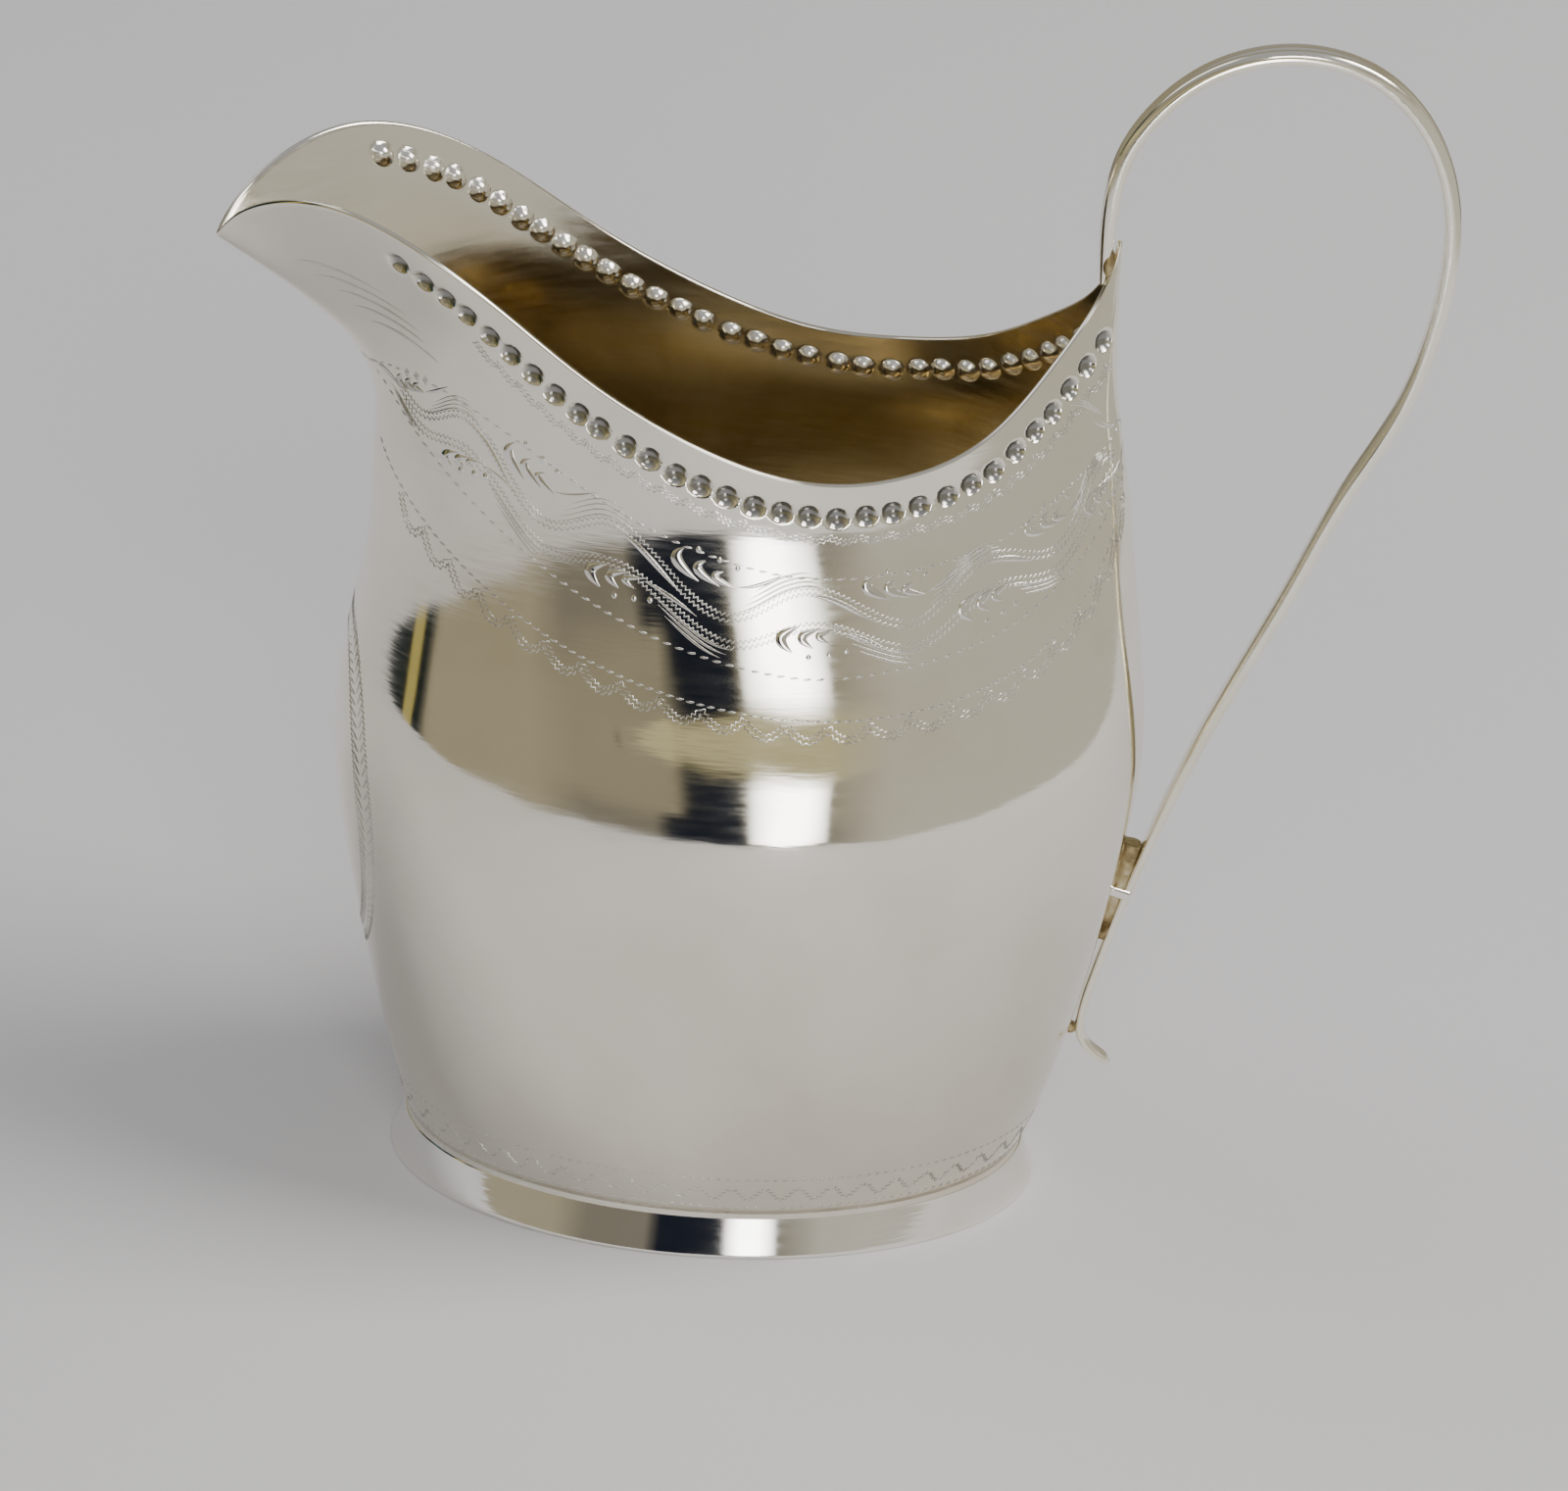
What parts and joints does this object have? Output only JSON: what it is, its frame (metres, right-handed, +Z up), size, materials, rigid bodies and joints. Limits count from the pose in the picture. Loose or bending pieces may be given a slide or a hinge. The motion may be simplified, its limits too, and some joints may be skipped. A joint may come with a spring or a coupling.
{
  "type": "cream jug",
  "caption": "Oval footed cream jug in sheet silver with a long pouring lip, a beaded rim and a tall loop handle.",
  "frame": {"origin": "centre of the foot ring's underside, on the table", "axes": "+Z up, -X towards the pouring lip, +X towards the handle, mirror symmetric about Y = 0"},
  "size_m": [0.1216, 0.0526, 0.1278],
  "materials": {
    "body_silver": "polished silver with bright-cut engraving and fine wear",
    "base_silver": "satin silver, lightly tarnished",
    "foot_silver": "polished silver",
    "handle_silver": "polished silver, reeded",
    "solder": "silver solder, tarnished"
  },
  "bodies": {
    "root": {"body_shell": "body_silver", "base_plate": "base_silver", "foot_ring": "foot_silver", "handle_strap": "handle_silver", "handle_saddle": "handle_silver", "base_seam_solder": "solder", "foot_seam_solder": "solder", "peak_solder": "solder", "tail_solder": "solder", "saddle_solder_upper": "solder", "saddle_solder_lower": "solder"}
  },
  "joints": []
}
